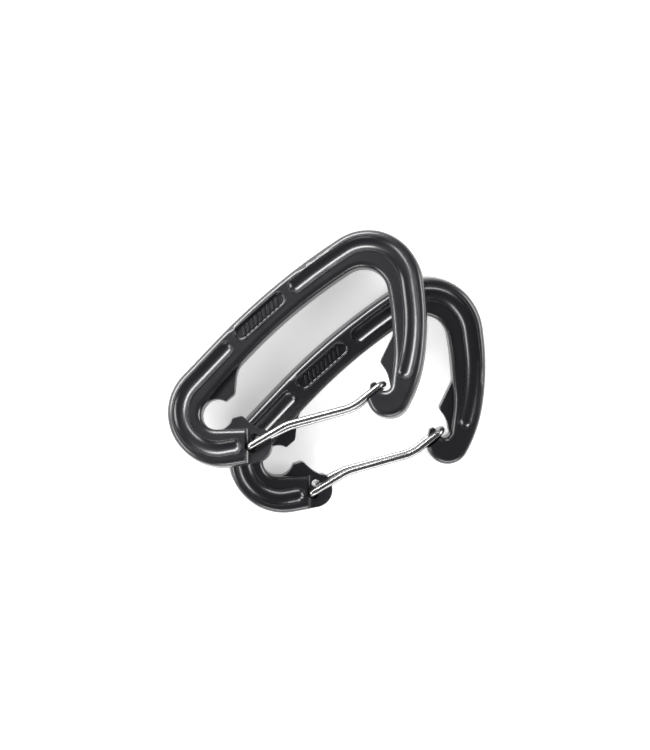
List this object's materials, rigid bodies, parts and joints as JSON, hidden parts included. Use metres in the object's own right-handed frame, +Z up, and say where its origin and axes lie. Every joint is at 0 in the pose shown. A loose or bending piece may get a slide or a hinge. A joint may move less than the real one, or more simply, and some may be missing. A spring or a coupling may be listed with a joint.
{
  "type": "pair of wire gate carabiners",
  "caption": "Pair of loose wire gate carabiners for a quickdraw: bent forged frames with a round cord pocket, and sprung steel wire gates. One lies flat, the other leans on it.",
  "frame": {"origin": "centre of the pair's outline, on the surface it lies on", "axes": "+X along the pair's longest side, +Z up from the surface; the lower carabiner's spine runs 40 degrees from +X towards +Y"},
  "size_m": [0.104, 0.0926, 0.027],
  "materials": {
    "anodised_frame": "black anodised, polished",
    "gate_wire": "bright stainless"
  },
  "bodies": {
    "lower_frame": {"lower_frame": "anodised_frame"},
    "lower_gate": {"lower_gate": "gate_wire"},
    "upper_frame": {"upper_frame": "anodised_frame"},
    "upper_gate": {"upper_gate": "gate_wire"}
  },
  "joints": [
    {"name": "lower_gate_hinge", "type": "hinge", "parent": "lower_frame", "child": "lower_gate", "pos_m": [-0.00358, -0.03875, 0.0043], "axis": [0, 0, 1], "range_deg": [0, 43], "stiffness_Nm_per_rad": 0.4, "springref_deg": -21.49},
    {"name": "upper_lift", "type": "slide", "parent": "lower_frame", "child": "upper_frame", "axis": [0, 0, 1], "range_m": [0, 0.05]},
    {"name": "upper_gate_hinge", "type": "hinge", "parent": "upper_frame", "child": "upper_gate", "pos_m": [-0.02437, -0.02215, 0.01552], "axis": [-0.223, 0.2658, 0.9379], "range_deg": [0, 43], "stiffness_Nm_per_rad": 0.4, "springref_deg": -21.49}
  ]
}
